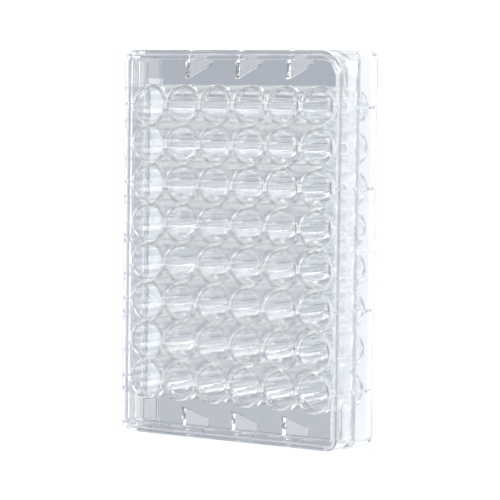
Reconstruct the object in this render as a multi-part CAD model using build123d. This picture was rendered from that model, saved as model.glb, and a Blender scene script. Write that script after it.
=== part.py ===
from build123d import *
from math import hypot
import os

# A 48-well culture plate with its lift-off lid, each moulded in one piece of clear polystyrene.
# The plate stands on the lower edge of its skirt with the wells open upwards. X runs along its
# length, Y across it, Z up, and the origin is the middle of the footprint on the bench.

# Footprint, the one that all laboratory plates of this kind share
LENGTH = 127.76
WIDTH = 85.48
FOOT_CORNER = 3.2

# Levels above the bench
WELL_BOTTOM = 1.4        # underside of the well floors, held off the bench
WELL_FLOOR = 2.6         # inside of the well floors
LEDGE = 12.0             # shelf on top of the skirt, which carries the lid
END_DECK = 17.4          # top of the sunken deck between the wells and each end
RIM = 20.0               # mouths of the wells, and the edge of the body round them
LID_TOP = 21.8

# Walls
WALL = 1.2               # skirt, body and lid
WEB = 1.5                # the flat web that joins the mouths of the wells
DECK = 1.2               # the sunken decks at the ends

# Wells, a round bore inside a round cup
WELLS_ALONG = 8
WELLS_ACROSS = 6
PITCH = 13.08
WELL_DIAMETER = 11.2
CUP_DIAMETER = 13.6      # wider than the pitch, so that each cup shares its wall with its neighbours
CUP_WALL = 1.0           # between a well and the hollows that lie diagonally beside it
FIELD_MARGIN = 0.7       # from the cups of the first and last rows to the edge of the web

# Lid
LID_LENGTH = 127.4
LID_WIDTH = 84.0
LID_PLATE = 1.2          # thickness of its flat top
LID_CORNER = 4.0
KEY_CORNER = 9.0         # the large corner beside the first well, which shows which way round it goes
LID_EDGE = 0.6           # bevel round the top
LID_GAP = 0.4            # play between the lid and the body of the plate

# Triangular gussets inside the two short ends
GUSSETS_ACROSS = (-1.5 * PITCH, 0, 1.5 * PITCH)
GUSSET_THICKNESS = 1.6
GUSSET_REACH = 6.4       # along the underside of the deck
GUSSET_TOE = 1.0         # width of the blunt lower end
GUSSET_FOOT = 1.6        # height of the lower end

# Upright ribs inside the two long sides
RIBS_ALONG = (-3.5 * PITCH, -1.5 * PITCH, 0, 1.5 * PITCH, 3.5 * PITCH)
RIB_THICKNESS = 0.9
RIB_REACH = 3.0          # inwards from the skirt
RIB_FOOT = 1.0           # height of the lower end

# The body of the plate fits inside the lid above the ledge
BODY_LENGTH = LID_LENGTH - 2 * (WALL + LID_GAP)
BODY_WIDTH = LID_WIDTH - 2 * (WALL + LID_GAP)
BODY_CORNER = LID_CORNER - WALL - LID_GAP
BODY_KEY_CORNER = KEY_CORNER - WALL - LID_GAP
WEB_UNDERSIDE = RIM - WEB
DECK_UNDERSIDE = END_DECK - DECK

# The wells and the web between them, which stand above the sunken decks
FIELD_LENGTH = (WELLS_ALONG - 1) * PITCH + CUP_DIAMETER + 2 * FIELD_MARGIN


def block(length, width, corner, key_corner, bottom, top, ease=fillet):
    """An upright block with eased upright edges, the key one rounded to a radius of its own."""
    outline = Rectangle(length, width)
    towards_key = sorted(outline.vertices(), key=lambda v: v.Y - v.X)
    outline = ease(towards_key[:3], corner)
    towards_key = sorted(outline.vertices(), key=lambda v: v.Y - v.X)
    outline = fillet(towards_key[-1:], key_corner)
    return extrude(Pos(0, 0, bottom) * outline, amount=top - bottom)


def outer_form():
    """The skirt and the narrower body on it, as if solid."""
    skirt = block(LENGTH, WIDTH, FOOT_CORNER, FOOT_CORNER, 0, LEDGE)
    body = block(BODY_LENGTH, BODY_WIDTH, BODY_CORNER, BODY_KEY_CORNER, LEDGE, RIM)
    return skirt + body


def inside_body(bottom, top):
    """What the walls of the body enclose between two levels. Its small corners are cut flat."""
    length = BODY_LENGTH - 2 * WALL
    width = BODY_WIDTH - 2 * WALL
    corner = BODY_CORNER - WALL
    return block(length, width, corner, BODY_KEY_CORNER - WALL, bottom, top, ease=chamfer)


def inside_skirt():
    length = LENGTH - 2 * WALL
    width = WIDTH - 2 * WALL
    corner = FOOT_CORNER - WALL
    return block(length, width, corner, corner, 0, LEDGE - WALL)


def upright(diameter, bottom, top):
    """An upright cylinder between two levels."""
    return Pos(0, 0, bottom) * Cylinder(
        diameter / 2, top - bottom, align=(Align.CENTER, Align.CENTER, Align.MIN)
    )


def cup():
    """The outside of one well, from under its floor to its mouth."""
    return upright(CUP_DIAMETER, WELL_BOTTOM, RIM)


def cup_block():
    """All 48 cups, joined wall to wall, as if nothing lay between them."""
    first_and_last_rows = GridLocations((WELLS_ALONG - 1) * PITCH, PITCH, 2, WELLS_ACROSS)
    joined = Pos(0, 0, WELL_BOTTOM) * Box(
        (WELLS_ALONG - 1) * PITCH,
        (WELLS_ACROSS - 1) * PITCH + CUP_DIAMETER,
        RIM - WELL_BOTTOM,
        align=(Align.CENTER, Align.CENTER, Align.MIN),
    )
    return joined + [place * cup() for place in first_and_last_rows]


def hollows():
    """A square hollow between each four cups and beside each two, with a flat of it behind each cup."""
    side = 2 * (hypot(PITCH / 2, PITCH / 2) - WELL_DIAMETER / 2 - CUP_WALL)
    hollow = extrude(Rot(0, 0, 45) * Rectangle(side, side), amount=WEB_UNDERSIDE)
    between_wells = GridLocations(PITCH, PITCH, WELLS_ALONG - 1, WELLS_ACROSS + 1)
    return [place * hollow for place in between_wells]


def end_decks():
    """The material of each end above the underside of its sunken deck, from the wall beside the wells."""
    reach = LENGTH / 2
    deck = Pos(FIELD_LENGTH / 2 - WALL, 0, DECK_UNDERSIDE) * Box(
        reach, WIDTH, RIM - DECK_UNDERSIDE, align=(Align.MIN, Align.CENTER, Align.MIN)
    )
    return on_both_sides(deck, Plane.YZ)


def space_over_ends():
    """The two trays above the sunken decks, between the wells and the end walls."""
    wells = Pos(0, 0, END_DECK) * Box(
        FIELD_LENGTH, WIDTH, RIM, align=(Align.CENTER, Align.CENTER, Align.MIN)
    )
    return inside_body(END_DECK, RIM) - wells


def bore():
    """The inside of one well."""
    return upright(WELL_DIAMETER, WELL_FLOOR, RIM)


def gusset():
    """One gusset of the +X end, from the sunken deck down the end wall."""
    wall = BODY_LENGTH / 2 - WALL
    profile = Polyline(
        (wall - GUSSET_REACH, END_DECK),
        (wall - GUSSET_REACH, DECK_UNDERSIDE),
        (wall - GUSSET_TOE, GUSSET_FOOT),
        (LENGTH / 2, GUSSET_FOOT),
        (LENGTH / 2, END_DECK),
        close=True,
    )
    face = Plane.XZ * make_face(profile)
    return extrude(face, amount=GUSSET_THICKNESS / 2, both=True)


def rib():
    """One rib of the +Y side, between the skirt and the cups."""
    skirt_inside = WIDTH / 2 - WALL
    depth = RIB_REACH + WALL
    middle = skirt_inside - RIB_REACH + depth / 2
    height = LEDGE - RIB_FOOT
    return Pos(0, middle, RIB_FOOT) * Box(
        RIB_THICKNESS, depth, height, align=(Align.CENTER, Align.CENTER, Align.MIN)
    )


def on_both_sides(piece, mirror_plane):
    return [piece, mirror(piece, about=mirror_plane)]


def stiffeners():
    """All the gussets and ribs, which also run on into the walls that they stiffen."""
    gussets = [Pos(0, across, 0) * gusset() for across in GUSSETS_ACROSS]
    ribs = [Pos(along, 0, 0) * rib() for along in RIBS_ALONG]
    pieces = []
    for piece in gussets:
        pieces += on_both_sides(piece, Plane.YZ)
    for piece in ribs:
        pieces += on_both_sides(piece, Plane.XZ)
    return pieces


def make_well_plate():
    """The moulded plate: what is left of its outer form once the spaces round the cups and the wells are out."""
    wells = GridLocations(PITCH, PITCH, WELLS_ALONG, WELLS_ACROSS)
    bores = [place * bore() for place in wells]
    space_below = inside_skirt() + inside_body(LEDGE - WALL, WEB_UNDERSIDE)
    space_below = space_below - (cup_block() - hollows()) - end_decks() - stiffeners()
    return outer_form() - space_below - space_over_ends() - bores


def make_lid():
    """The lid: a flat top with a skirt that stands on the ledge of the plate."""
    outside = block(LID_LENGTH, LID_WIDTH, LID_CORNER, KEY_CORNER, LEDGE, LID_TOP)
    outside = chamfer(outside.faces().sort_by(Axis.Z)[-1].edges(), LID_EDGE)
    inside = block(
        LID_LENGTH - 2 * WALL,
        LID_WIDTH - 2 * WALL,
        LID_CORNER - WALL,
        KEY_CORNER - WALL,
        LEDGE,
        LID_TOP - LID_PLATE,
    )
    return outside - inside


os.makedirs("parts", exist_ok=True)
export_step(make_well_plate(), "parts/well_plate.step")
export_step(make_lid(), "parts/lid.step")
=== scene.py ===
from math import cos, pi, radians, sin

import bmesh
import bpy
from mathutils import Matrix, Vector


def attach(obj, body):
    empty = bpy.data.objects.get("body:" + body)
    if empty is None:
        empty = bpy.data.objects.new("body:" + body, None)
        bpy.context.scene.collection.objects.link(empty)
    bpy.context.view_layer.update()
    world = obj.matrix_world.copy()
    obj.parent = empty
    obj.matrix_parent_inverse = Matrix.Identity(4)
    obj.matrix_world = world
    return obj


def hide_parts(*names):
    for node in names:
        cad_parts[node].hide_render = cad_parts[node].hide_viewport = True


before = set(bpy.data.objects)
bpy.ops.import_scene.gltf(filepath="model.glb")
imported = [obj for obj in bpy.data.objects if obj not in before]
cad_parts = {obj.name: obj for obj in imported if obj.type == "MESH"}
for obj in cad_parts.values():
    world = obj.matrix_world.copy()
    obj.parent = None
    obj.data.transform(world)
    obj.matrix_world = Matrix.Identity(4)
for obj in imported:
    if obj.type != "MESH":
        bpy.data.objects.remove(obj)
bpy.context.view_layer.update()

# A 48-well culture plate and its lift-off lid, both moulded in clear polystyrene.
# Lengths are written in millimetres and multiplied by MM where a mesh is made.
MM = 0.001

# Levels above the bench
WELL_BOTTOM = 1.4
WELL_FLOOR = 2.6
LEDGE = 12.0
DECK_UNDERSIDE = 16.2
END_DECK = 17.4          # sunken deck at each end
WEB_UNDERSIDE = 18.4
WEB = 19.5               # web between the mouths of the wells
RIM = 20.0
LID_UNDERSIDE = 20.6
LID_SEAT = 12.04         # lower edge of the lid, a film of air above the ledge
LID_TOP = 21.8

# Outlines
LENGTH, WIDTH, FOOT_CORNER = 127.76, 85.48, 3.2
LID_LENGTH, LID_WIDTH = 127.4, 84.0
LID_CORNER, KEY_CORNER = 4.0, 9.0
WALL = 1.2
LID_GAP = 0.4
BODY_STEP = WALL + LID_GAP

# Wells
ALONG, ACROSS, PITCH = 8, 6, 13.08
WELL_RADIUS = 5.6
CUP_RADIUS = 6.8
FLOOR_EASE = 0.5         # rounding inside and outside a cup's floor
RIM_EASE = 0.35          # rounding of the mouths
ROUND_STEPS = 64

# Gussets under the end decks, and ribs inside the long sides
GUSSET_REACH, GUSSET_THICKNESS, GUSSET_FOOT = 6.4, 1.6, 1.6
GUSSET_TO_SKIRT = 2.4
RIB_REACH, RIB_THICKNESS, RIB_FOOT = 3.0, 0.9, 1.0
SINK = 0.6               # how far both run into the walls that hold them
DECK_SINK = 0.4


# ---------------------------------------------------------------- mesh helpers

def new_object(name, bm):
    """Makes an object from a bmesh drawn in millimetres."""
    bmesh.ops.transform(bm, matrix=Matrix.Scale(MM, 4), verts=bm.verts)
    mesh = bpy.data.meshes.new(name)
    bm.to_mesh(mesh)
    bm.free()
    piece = bpy.data.objects.new(name, mesh)
    bpy.context.scene.collection.objects.link(piece)
    return piece


def combine(piece, tool, operation):
    """Joins a tool to a piece, or cuts it out, and removes the tool."""
    change = piece.modifiers.new("combine", "BOOLEAN")
    change.operation = operation
    change.solver = "MANIFOLD"
    change.object = tool
    seen = piece.evaluated_get(bpy.context.evaluated_depsgraph_get())
    mesh = bpy.data.meshes.new_from_object(seen)
    piece.modifiers.clear()
    old = piece.data
    piece.data = mesh
    bpy.data.meshes.remove(old)
    bpy.data.meshes.remove(tool.data)
    return piece


def block(name, size, corner, key_corner, bottom, top, low_edge=0.0, high_edge=0.0):
    """An upright block with rounded corners, the one at -X +Y of its own radius, and eased edges."""
    bm = bmesh.new()
    bmesh.ops.create_cube(bm, size=1.0)
    place = Matrix.Translation((0, 0, (bottom + top) / 2))
    bmesh.ops.transform(bm, matrix=place @ Matrix.Diagonal((*size, top - bottom, 1)), verts=bm.verts)

    def uprights(is_key):
        return [
            e for e in bm.edges
            if abs(e.verts[0].co.z - e.verts[1].co.z) > 1e-6
            and (e.verts[0].co.x < 0 < e.verts[0].co.y) == is_key
            and abs(abs(e.verts[0].co.x) - size[0] / 2) < 1e-4
            and abs(abs(e.verts[0].co.y) - size[1] / 2) < 1e-4
        ]

    for is_key, radius, steps in ((True, key_corner, 20), (False, corner, 12)):
        bmesh.ops.bevel(bm, geom=uprights(is_key), offset=radius, segments=steps, profile=0.5,
                        affect="EDGES", material=-1)
    for level, radius in ((bottom, low_edge), (top, high_edge)):
        if radius:
            ring = [e for e in bm.edges if all(abs(v.co.z - level) < 1e-5 for v in e.verts)]
            bmesh.ops.bevel(bm, geom=ring, offset=radius, segments=4, profile=0.5,
                            affect="EDGES", material=-1)
    return new_object(name, bm)


def turned(name, profile, centres, steps=ROUND_STEPS):
    """Spins a profile of (radius, height) points round an upright axis, and repeats it at each centre."""
    bm = bmesh.new()
    verts = [bm.verts.new((r, 0, z)) for r, z in profile]
    edges = [bm.edges.new(pair) for pair in zip(verts, verts[1:])]
    if profile[0][0] > 0:
        edges.append(bm.edges.new((verts[-1], verts[0])))
    bmesh.ops.spin(bm, geom=verts + edges, cent=(0, 0, 0), axis=(0, 0, 1), angle=2 * pi,
                   steps=steps, use_merge=True)
    bmesh.ops.remove_doubles(bm, verts=bm.verts, dist=1e-4)
    bmesh.ops.recalc_face_normals(bm, faces=bm.faces)
    first = bm.verts[:] + bm.edges[:] + bm.faces[:]
    for x, y in centres[1:]:
        copied = bmesh.ops.duplicate(bm, geom=first)["geom"]
        moved = [g for g in copied if isinstance(g, bmesh.types.BMVert)]
        bmesh.ops.translate(bm, verts=moved, vec=(x, y, 0))
    bmesh.ops.translate(bm, verts=[v for v in first if isinstance(v, bmesh.types.BMVert)],
                        vec=(*centres[0], 0))
    return new_object(name, bm)


def arc(centre, radius, start, end, steps):
    """Points on an arc of a profile, from one angle to another in degrees."""
    turns = [radians(start + (end - start) * k / steps) for k in range(steps + 1)]
    return [(centre[0] + radius * cos(a), centre[1] + radius * sin(a)) for a in turns]


def prism(bm, outline, thickness, place):
    """A flat outline of (x, z) points given a thickness across, then set in place."""
    verts = [bm.verts.new((x, -thickness / 2, z)) for x, z in outline]
    face = bm.faces.new(verts)
    grown = bmesh.ops.extrude_face_region(bm, geom=[face])["geom"]
    moved = [g for g in grown if isinstance(g, bmesh.types.BMVert)]
    bmesh.ops.translate(bm, verts=moved, vec=(0, thickness, 0))
    bmesh.ops.transform(bm, matrix=place, verts=verts + moved)


def shade(piece, sharp_angle):
    """Smooths the round faces and keeps the edges sharper than an angle in degrees."""
    bm = bmesh.new()
    bm.from_mesh(piece.data)
    bmesh.ops.remove_doubles(bm, verts=bm.verts, dist=2e-7)
    bmesh.ops.dissolve_degenerate(bm, edges=bm.edges, dist=1e-7)
    for face in bm.faces:
        face.smooth = True
    for edge in bm.edges:
        edge.smooth = len(edge.link_faces) == 2 and edge.calc_face_angle(0) < radians(sharp_angle)
    bm.to_mesh(piece.data)
    bm.free()
    weigh = piece.modifiers.new("flat_faces_first", "WEIGHTED_NORMAL")
    weigh.keep_sharp = True
    weigh.weight = 100
    seen = piece.evaluated_get(bpy.context.evaluated_depsgraph_get())
    old, piece.data = piece.data, bpy.data.meshes.new_from_object(seen)
    piece.modifiers.clear()
    bpy.data.meshes.remove(old)


# ---------------------------------------------------------------- the plate

def well_centres():
    return [((i - (ALONG - 1) / 2) * PITCH, (j - (ACROSS - 1) / 2) * PITCH, (i + j) % 2)
            for i in range(ALONG) for j in range(ACROSS)]


def well_bores():
    """The inside of every well, with a rounded floor edge and an eased mouth."""
    r = WELL_RADIUS
    profile = [(0, WELL_FLOOR)]
    profile += arc((r - FLOOR_EASE, WELL_FLOOR + FLOOR_EASE), FLOOR_EASE, -90, 0, 6)
    profile += arc((r + RIM_EASE, RIM - RIM_EASE), RIM_EASE, 180, 90, 5)
    profile += [(r + RIM_EASE, RIM + 1), (0, RIM + 1)]
    return turned("bores", profile, [c[:2] for c in well_centres()])


def cups(parity):
    """Every other cup up to its rim. The two sets overlap, and so share their walls."""
    r = CUP_RADIUS
    profile = [(0, WELL_BOTTOM)]
    profile += arc((r - FLOOR_EASE, WELL_BOTTOM + FLOOR_EASE), FLOOR_EASE, -90, 0, 4)
    profile += arc((r - RIM_EASE, RIM - RIM_EASE), RIM_EASE, 0, 90, 5)
    profile += [(0, RIM)]
    return turned("cups", profile, [c[:2] for c in well_centres() if c[2] == parity])


def gussets():
    """The triangular gussets inside the two short ends."""
    wall = LID_LENGTH / 2 - BODY_STEP - WALL
    inner, foot = wall - GUSSET_REACH, wall - 1.0
    skirt = wall + GUSSET_TO_SKIRT
    under_ledge, in_deck = LEDGE - SINK, DECK_UNDERSIDE + DECK_SINK
    outline = [(inner, in_deck), (inner, DECK_UNDERSIDE), (foot, GUSSET_FOOT), (skirt, GUSSET_FOOT),
               (skirt, under_ledge), (wall + SINK, under_ledge), (wall + SINK, in_deck)]
    bm = bmesh.new()
    for end in (0, pi):
        for across in (-1.5, 0, 1.5):
            place = Matrix.Translation((0, across * PITCH, 0)) @ Matrix.Rotation(end, 4, "Z")
            prism(bm, outline, GUSSET_THICKNESS, place)
    bmesh.ops.recalc_face_normals(bm, faces=bm.faces)
    return new_object("gussets", bm)


def ribs():
    """The upright ribs inside the two long sides."""
    skirt = WIDTH / 2 - WALL
    inner, outer, top = skirt - RIB_REACH, skirt + SINK, LEDGE - SINK
    outline = [(inner, RIB_FOOT), (outer, RIB_FOOT), (outer, top), (inner, top)]
    bm = bmesh.new()
    for side in (pi / 2, -pi / 2):
        for along in (-3.5, -1.5, 0, 1.5, 3.5):
            place = Matrix.Translation((along * PITCH, 0, 0)) @ Matrix.Rotation(side, 4, "Z")
            prism(bm, outline, RIB_THICKNESS, place)
    bmesh.ops.recalc_face_normals(bm, faces=bm.faces)
    return new_object("ribs", bm)


def plate_moulding():
    """A stepped outer form, less the trays over its end decks and the space below, plus the cups."""
    body = (LID_LENGTH - 2 * BODY_STEP, LID_WIDTH - 2 * BODY_STEP)
    inside_body = (body[0] - 2 * WALL, body[1] - 2 * WALL)
    inside_skirt = (LENGTH - 2 * WALL, WIDTH - 2 * WALL)
    field = ((ALONG - 1) * PITCH, inside_body[1] + 1)
    corner, key = LID_CORNER - BODY_STEP, KEY_CORNER - BODY_STEP
    plate = block("well_plate_moulding", (LENGTH, WIDTH), FOOT_CORNER, FOOT_CORNER, 0, LEDGE,
                  low_edge=0.5, high_edge=0.4)
    combine(plate, block("upper", body, corner, key, LEDGE - 1.0, RIM, high_edge=0.25), "UNION")

    tray = block("tray", inside_body, corner - WALL, key - WALL, END_DECK, RIM + 1, low_edge=0.3)
    combine(tray, block("field", field, 0.5, 0.5, END_DECK - 1, WEB), "DIFFERENCE")
    combine(plate, tray, "DIFFERENCE")

    space = block("space", inside_skirt, FOOT_CORNER - WALL, FOOT_CORNER - WALL, -1, LEDGE - WALL,
                  high_edge=0.3)
    upper = block("space", inside_body, corner - WALL, key - WALL, 2, DECK_UNDERSIDE, high_edge=0.3)
    middle = block("space", (field[0] - 2 * WALL, inside_body[1]), 0.5, 0.5, 2, WEB_UNDERSIDE)
    combine(space, combine(upper, middle, "UNION"), "UNION")
    combine(plate, space, "DIFFERENCE")

    for parity in (0, 1):
        combine(plate, cups(parity), "UNION")
    combine(plate, gussets(), "UNION")
    combine(plate, ribs(), "UNION")
    combine(plate, well_bores(), "DIFFERENCE")
    shade(plate, 32)
    return plate


# ---------------------------------------------------------------- the lid

def lid_moulding():
    """A flat top with a plain skirt, eased all round."""
    lid = block("lid_moulding", (LID_LENGTH, LID_WIDTH), LID_CORNER, KEY_CORNER, LID_SEAT, LID_TOP,
                low_edge=0.2, high_edge=0.6)
    inside = (LID_LENGTH - 2 * WALL, LID_WIDTH - 2 * WALL)
    space = block("space", inside, LID_CORNER - WALL, KEY_CORNER - WALL, LEDGE - 1, LID_UNDERSIDE,
                  high_edge=0.35)
    combine(lid, space, "DIFFERENCE")
    shade(lid, 32)
    return lid


# ---------------------------------------------------------------- materials

POLYSTYRENE_IOR = 1.59


def moulded_surface():
    """The surface of a clear moulding: a faint uneven haze, a slight change of polish and slow ripples."""
    group = bpy.data.node_groups.new("moulded_surface", "ShaderNodeTree")
    for name, kind in (("Clear", "NodeSocketColor"), ("Hazy", "NodeSocketColor"),
                       ("Haze Size", "NodeSocketFloat"), ("Smooth", "NodeSocketFloat"),
                       ("Rough", "NodeSocketFloat"), ("Ripple Size", "NodeSocketFloat")):
        group.interface.new_socket(name, in_out="INPUT", socket_type=kind)
    for name, kind in (("Colour", "NodeSocketColor"), ("Roughness", "NodeSocketFloat"),
                       ("Height", "NodeSocketFloat")):
        group.interface.new_socket(name, in_out="OUTPUT", socket_type=kind)
    nodes, links = group.nodes, group.links
    given = nodes.new("NodeGroupInput")
    result = nodes.new("NodeGroupOutput")
    place = nodes.new("ShaderNodeTexCoord")

    def noise(size, detail):
        cloud = nodes.new("ShaderNodeTexNoise")
        cloud.inputs["Detail"].default_value = detail
        links.new(place.outputs["Object"], cloud.inputs["Vector"])
        links.new(given.outputs[size], cloud.inputs["Scale"])
        return cloud.outputs["Fac"]

    haze = nodes.new("ShaderNodeMapRange")
    haze.interpolation_type = "SMOOTHSTEP"
    haze.inputs["From Min"].default_value = 0.45
    haze.inputs["From Max"].default_value = 0.75
    links.new(noise("Haze Size", 2), haze.inputs["Value"])
    colour = nodes.new("ShaderNodeMix")
    colour.data_type = "RGBA"
    links.new(haze.outputs["Result"], colour.inputs[0])
    links.new(given.outputs["Clear"], colour.inputs[6])
    links.new(given.outputs["Hazy"], colour.inputs[7])
    links.new(colour.outputs[2], result.inputs["Colour"])
    gloss = nodes.new("ShaderNodeMix")
    links.new(haze.outputs["Result"], gloss.inputs[0])
    links.new(given.outputs["Smooth"], gloss.inputs[2])
    links.new(given.outputs["Rough"], gloss.inputs[3])
    links.new(gloss.outputs[0], result.inputs["Roughness"])
    links.new(noise("Ripple Size", 0), result.inputs["Height"])
    return group


def clear_plastic(name, clear, hazy, shadow_tint):
    """Clear polystyrene that lets tinted light through to what lies under it."""
    material = bpy.data.materials.new(name)
    material.use_nodes = True
    nodes, links = material.node_tree.nodes, material.node_tree.links
    nodes.clear()
    finish = nodes.new("ShaderNodeGroup")
    finish.node_tree = moulded_finish
    finish.inputs["Clear"].default_value = (*clear, 1)
    finish.inputs["Hazy"].default_value = (*hazy, 1)
    finish.inputs["Haze Size"].default_value = 90
    finish.inputs["Smooth"].default_value = 0.0
    finish.inputs["Rough"].default_value = 0.015
    finish.inputs["Ripple Size"].default_value = 60
    relief = nodes.new("ShaderNodeBump")
    relief.inputs["Strength"].default_value = 0.05
    relief.inputs["Distance"].default_value = 0.02 * MM
    surface = nodes.new("ShaderNodeBsdfPrincipled")
    surface.inputs["IOR"].default_value = POLYSTYRENE_IOR
    surface.inputs["Transmission Weight"].default_value = 1.0
    links.new(finish.outputs["Colour"], surface.inputs["Base Color"])
    links.new(finish.outputs["Roughness"], surface.inputs["Roughness"])
    links.new(finish.outputs["Height"], relief.inputs["Height"])
    links.new(relief.outputs["Normal"], surface.inputs["Normal"])
    path = nodes.new("ShaderNodeLightPath")
    through = nodes.new("ShaderNodeBsdfTransparent")
    through.inputs["Color"].default_value = (*shadow_tint, 1)
    either = nodes.new("ShaderNodeMath")
    either.operation = "MAXIMUM"
    mix = nodes.new("ShaderNodeMixShader")
    out = nodes.new("ShaderNodeOutputMaterial")
    links.new(path.outputs["Is Shadow Ray"], either.inputs[0])
    links.new(path.outputs["Is Diffuse Ray"], either.inputs[1])
    links.new(either.outputs[0], mix.inputs[0])
    links.new(surface.outputs[0], mix.inputs[1])
    links.new(through.outputs[0], mix.inputs[2])
    links.new(mix.outputs[0], out.inputs["Surface"])
    return material


def dress(piece, material, node):
    """Gives a finished piece its plastic, and puts it in the place of its CAD node."""
    piece.data.materials.clear()
    piece.data.materials.append(material)
    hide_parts(node)
    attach(piece, "root")


moulded_finish = moulded_surface()
plate_plastic = clear_plastic("plate_polystyrene", (0.973, 0.979, 0.982), (0.955, 0.963, 0.968),
                              (0.95, 0.96, 0.97))
lid_plastic = clear_plastic("lid_polystyrene", (0.985, 0.99, 0.99), (0.972, 0.979, 0.982),
                            (0.96, 0.97, 0.98))
dress(plate_moulding(), plate_plastic, "well_plate")
dress(lid_moulding(), lid_plastic, "lid")


# ---------------------------------------------------------------- the studio

# The table's opening, the white bar left across it behind the far row of wells, and the slot
# under the near edge of the foot. Through the opening the grey below shows as painted shade,
# standing in for the table in the plate's shadow.
OPEN_LEFT, OPEN_RIGHT, OPEN_FAR, OPEN_NEAR = -64, 66.5, -62, 30
BAR_END, BAR_FAR, BAR_NEAR = 54.5, -48, -41
# The slot shows the dark surroundings below through the plastic as a painted contact shadow along the near
# foot.
SHADOW_SLOT_FAR, SHADOW_SLOT_NEAR = 41.6, 44.5
TABLE_REACH = 3000

# Cards below the table, each with its azimuth and half width in degrees, then its colour
# Painted shade: the plain grey below stands in for the table in the plate's shadow; the cards lie over it.
PAINTED_SHADE_BELOW = (0.58, 0.61, 0.67)
CARDS_BELOW = (
    (250, 24, (0.48, 0.51, 0.58)),
    (212, 33, (0.8, 0.84, 0.86)),
    (165, 15, (0.1, 0.1, 0.12)),
    (135, 15, (1.9, 1.9, 1.9)),
    (80, 20, (1.6, 1.6, 1.6)),
    (38, 23, (0.35, 0.4, 0.46)),
    (0, 15, (1.5, 1.55, 1.6)),
    (330, 15, (0.4, 0.42, 0.43)),
)
CARD_SOFTNESS = 3

# The rest of the studio, from straight down to overhead. The bands start where the upward part of a
# direction passes a level.
CARDS_LEVEL, LOW_HORIZON_LEVEL, HORIZON_LEVEL, SWEEP_LEVEL = -0.92, -0.72, -0.4, 0.4
# Straight down, the same painted shade: grey standing in for the table under the plate.
STRAIGHT_DOWN = (0.6, 0.63, 0.69)
LOW_HORIZON = (0.15, 0.16, 0.18)
HORIZON = (0.25, 0.25, 0.27)
BEHIND, IN_FRONT = (0.3, 0.31, 0.33), (2.0, 2.0, 2.0)
BACKDROP = (1.0, 1.0, 1.0)


def floor_material():
    """White paint, a little greyer where it is seen through the plastic: painted shade standing in for the
    table in the plate's shadow.
    """
    material = bpy.data.materials.new("white_sweep")
    material.use_nodes = True
    nodes, links = material.node_tree.nodes, material.node_tree.links
    surface = nodes["Principled BSDF"]
    path = nodes.new("ShaderNodeLightPath")
    # Painted shade: rays other than the camera's see the paper greyer, as if the table lay in the plate's
    # shadow.
    paper_and_painted_shade = nodes.new("ShaderNodeMix")
    paper_and_painted_shade.data_type = "RGBA"
    paper_and_painted_shade.inputs[6].default_value = (0.73, 0.73, 0.745, 1)
    paper_and_painted_shade.inputs[7].default_value = (0.9, 0.9, 0.9, 1)
    links.new(path.outputs["Is Camera Ray"], paper_and_painted_shade.inputs[0])
    links.new(paper_and_painted_shade.outputs[2], surface.inputs["Base Color"])
    surface.inputs["Roughness"].default_value = 0.8
    surface.inputs["Specular IOR Level"].default_value = 0.0
    return material


def make_floor():
    """A white table top, open under the plate so that the cards below show through the wells, and the grey
    below shows there as painted shade standing in for the table in the plate's shadow.
    """
    bm = bmesh.new()
    bmesh.ops.create_grid(bm, x_segments=1, y_segments=1, size=TABLE_REACH)
    cuts = [((x, 0, 0), (1, 0, 0)) for x in (OPEN_LEFT, -BAR_END, BAR_END, OPEN_RIGHT)]
    levels = (OPEN_FAR, BAR_FAR, BAR_NEAR, OPEN_NEAR, SHADOW_SLOT_FAR, SHADOW_SLOT_NEAR)
    cuts += [((0, y, 0), (0, 1, 0)) for y in levels]
    for place, across in cuts:
        bmesh.ops.bisect_plane(bm, geom=bm.verts[:] + bm.edges[:] + bm.faces[:],
                               plane_co=place, plane_no=across)
    opening = []
    for face in bm.faces:
        x, y, _ = face.calc_center_median()
        on_bar = abs(x) < BAR_END and BAR_FAR < y < BAR_NEAR
        in_middle = OPEN_FAR < y < OPEN_NEAR and not on_bar
        # Painted contact shadow: the slot under the near edge of the foot.
        in_shadow_slot = SHADOW_SLOT_FAR < y < SHADOW_SLOT_NEAR
        if OPEN_LEFT < x < OPEN_RIGHT and (in_middle or in_shadow_slot):
            opening.append(face)
    bmesh.ops.delete(bm, geom=opening, context="FACES")
    floor = new_object("floor", bm)
    floor.data.materials.append(floor_material())


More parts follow.
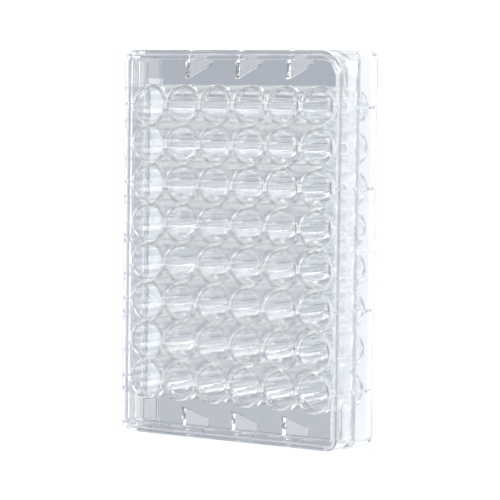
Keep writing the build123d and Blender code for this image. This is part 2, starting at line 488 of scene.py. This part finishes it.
def make_world():
    """Plain studio surroundings: a white sweep above, and what shows through the plastic below, where the
    grey between the cards is painted shade standing in for the table in the plate's shadow.
    """
    world = bpy.data.worlds.new("studio")
    bpy.context.scene.world = world
    world.use_nodes = True
    nodes, links = world.node_tree.nodes, world.node_tree.links
    nodes.clear()
    coords = nodes.new("ShaderNodeTexCoord")
    split = nodes.new("ShaderNodeSeparateXYZ")
    links.new(coords.outputs["Generated"], split.inputs[0])

    def step(socket, threshold, softness):
        """Nought well below a threshold and one well above it."""
        ramp = nodes.new("ShaderNodeMapRange")
        ramp.interpolation_type = "SMOOTHSTEP"
        ramp.inputs["From Min"].default_value = threshold - softness
        ramp.inputs["From Max"].default_value = threshold + softness
        links.new(socket, ramp.inputs["Value"])
        return ramp.outputs["Result"]

    def blend(factor, first, second):
        """The first colour where a factor is nought and the second where it is one."""
        mix = nodes.new("ShaderNodeMix")
        mix.data_type = "RGBA"
        links.new(factor, mix.inputs[0])
        for value, slot in ((first, 6), (second, 7)):
            if isinstance(value, tuple):
                mix.inputs[slot].default_value = (*value, 1)
            else:
                links.new(value, mix.inputs[slot])
        return mix.outputs[2]

    def facing(azimuth, half_width):
        """One where a direction points within an angle of an azimuth, both in degrees."""
        along = nodes.new("ShaderNodeVectorMath")
        along.operation = "DOT_PRODUCT"
        links.new(flat.outputs[0], along.inputs[0])
        along.inputs[1].default_value = (cos(radians(azimuth)), sin(radians(azimuth)), 0)
        outer = cos(radians(half_width + CARD_SOFTNESS))
        inner = cos(radians(half_width - CARD_SOFTNESS))
        return step(along.outputs["Value"], (outer + inner) / 2, (inner - outer) / 2)

    level = nodes.new("ShaderNodeVectorMath")
    level.operation = "MULTIPLY"
    level.inputs[1].default_value = (1, 1, 0)
    links.new(coords.outputs["Generated"], level.inputs[0])
    flat = nodes.new("ShaderNodeVectorMath")
    flat.operation = "NORMALIZE"
    links.new(level.outputs[0], flat.inputs[0])

    below = PAINTED_SHADE_BELOW
    for azimuth, half_width, colour in CARDS_BELOW:
        below = blend(facing(azimuth, half_width), below, colour)
    upward, across = split.outputs["Z"], split.outputs["Y"]
    above = blend(step(across, 0.0, 0.1), BEHIND, IN_FRONT)
    everywhere = blend(step(upward, CARDS_LEVEL, 0.03), STRAIGHT_DOWN, below)
    everywhere = blend(step(upward, LOW_HORIZON_LEVEL, 0.03), everywhere, LOW_HORIZON)
    everywhere = blend(step(upward, HORIZON_LEVEL, 0.05), everywhere, HORIZON)
    everywhere = blend(step(upward, SWEEP_LEVEL, 0.1), everywhere, above)
    path = nodes.new("ShaderNodeLightPath")
    seen = blend(path.outputs["Is Camera Ray"], everywhere, BACKDROP)
    background = nodes.new("ShaderNodeBackground")
    out = nodes.new("ShaderNodeOutputWorld")
    links.new(seen, background.inputs["Color"])
    links.new(background.outputs[0], out.inputs["Surface"])


def area_light(name, place, target, size, power):
    lamp = bpy.data.lights.new(name, "AREA")
    lamp.shape = "SQUARE"
    lamp.size = size
    lamp.energy = power
    holder = bpy.data.objects.new(name, lamp)
    holder.location = place
    aim = Vector(target) - Vector(place)
    holder.rotation_euler = aim.to_track_quat("-Z", "Y").to_euler()
    bpy.context.scene.collection.objects.link(holder)


def make_camera():
    """Looks down on the plate from beyond its +Y side, rolled so that its length runs up the picture."""
    data = bpy.data.cameras.new("camera")
    data.lens = 174.36
    data.sensor_width = 36
    data.clip_end = 20
    camera = bpy.data.objects.new("camera", data)
    camera.location = (-0.048704, 0.432997, 0.677454)
    camera.rotation_euler = (radians(-3.13122), radians(32.95646), radians(90.90271))
    bpy.context.scene.collection.objects.link(camera)
    bpy.context.scene.camera = camera


make_camera()
make_floor()
make_world()
area_light("key", (-0.6, 0.5, 1.2), (0, 0, 0), 0.8, 12)

scene = bpy.context.scene
scene.view_settings.view_transform = "Standard"
scene.cycles.max_bounces = 64
scene.cycles.transmission_bounces = 64
scene.cycles.glossy_bounces = 64
scene.cycles.transparent_max_bounces = 48
